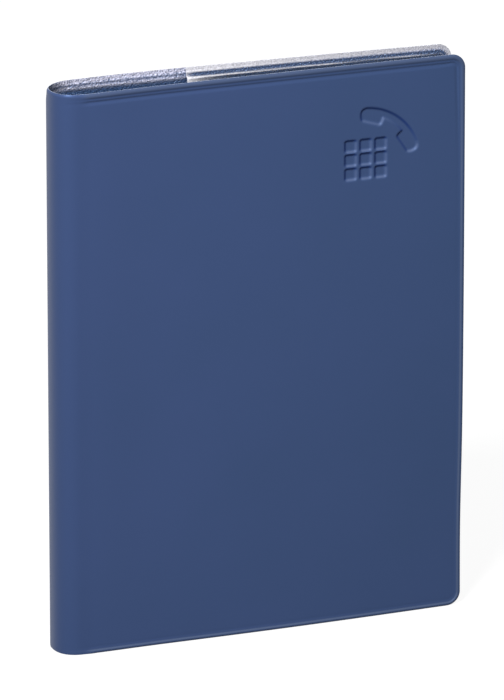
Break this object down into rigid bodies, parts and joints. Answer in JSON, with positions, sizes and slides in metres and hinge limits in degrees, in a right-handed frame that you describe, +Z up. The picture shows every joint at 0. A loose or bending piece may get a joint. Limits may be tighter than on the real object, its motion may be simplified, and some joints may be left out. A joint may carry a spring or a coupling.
{
  "type": "address book",
  "caption": "Closed A5 address book in a soft blue vinyl slip cover, with an indexed page block, a card wrap, clear pockets and two hinged covers.",
  "frame": {"origin": "under the middle of the closed book, on the surface that its lower cover edges stand on", "axes": "+Z up the book's height, -Y out of the front cover, -X out of the spine"},
  "size_m": [0.1634, 0.0202, 0.222],
  "materials": {
    "blue_vinyl": "satin",
    "clear_film": "gloss",
    "cover_card": "matte",
    "page_paper": "matte"
  },
  "bodies": {
    "block": {"page_block": "page_paper", "spine_card": "cover_card", "spine_cover": "blue_vinyl"},
    "front": {"front_cover": "blue_vinyl", "front_pocket": "clear_film", "front_card": "cover_card"},
    "back": {"back_cover": "blue_vinyl", "back_pocket": "clear_film", "back_card": "cover_card"}
  },
  "joints": [
    {"name": "front_hinge", "type": "hinge", "parent": "block", "child": "front", "pos_m": [-0.07175, -0.0103, 0.111], "axis": [0, 0, -1], "range_deg": [0, 178]},
    {"name": "back_hinge", "type": "hinge", "parent": "block", "child": "back", "pos_m": [-0.07175, 0.0103, 0.111], "axis": [0, 0, 1], "range_deg": [0, 178]}
  ]
}
